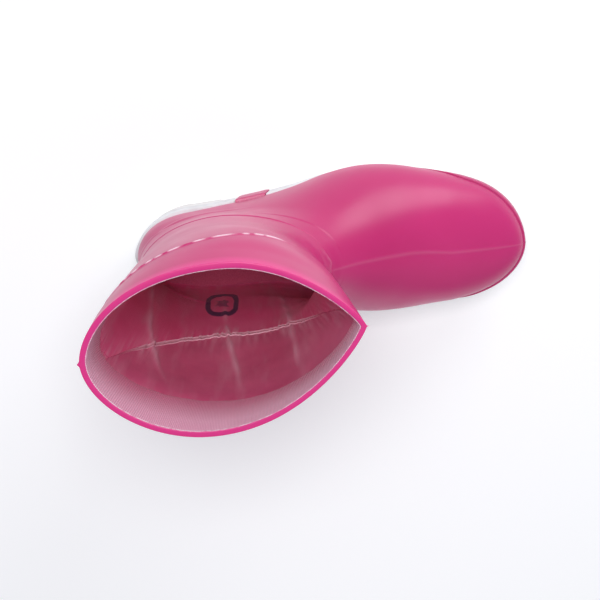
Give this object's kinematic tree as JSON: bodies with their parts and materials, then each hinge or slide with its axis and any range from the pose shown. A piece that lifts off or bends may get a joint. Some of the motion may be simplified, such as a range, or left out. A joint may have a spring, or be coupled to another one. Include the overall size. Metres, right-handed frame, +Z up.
{
  "type": "wellington boot",
  "caption": "Left-foot pink wellington boot: moulded shell, knit-lined leg, pale foxing band, arch tabs, toe bumper and cleated outsole.",
  "frame": {"origin": "on the ground at the middle of the heel's tread", "axes": "+X towards the toe, +Y towards the outer side of the left foot, +Z up the leg"},
  "size_m": [0.303, 0.1158, 0.265],
  "materials": {
    "pink_pvc": "gloss",
    "bumper_pvc": "gloss",
    "foxing_rubber": "satin",
    "sole_rubber": "matte",
    "core_foam": "matte",
    "cuff_knit": "knitted",
    "lining_satin": "satin knit",
    "seam_tape": "woven",
    "insole_board": "pressed fibre",
    "footbed": "brushed"
  },
  "bodies": {
    "root": {"outsole": "sole_rubber", "heel_core": "core_foam", "rear_foxing": "foxing_rubber", "front_foxing": "foxing_rubber", "arch_tab_outer": "pink_pvc", "arch_tab_inner": "pink_pvc", "shell": "pink_pvc", "toe_bumper": "bumper_pvc", "lining_cuff": "cuff_knit", "lining_leg": "lining_satin", "lining_foot": "lining_satin", "lining_seam_tape": "seam_tape", "insole_board": "insole_board", "footbed": "footbed"}
  },
  "joints": []
}
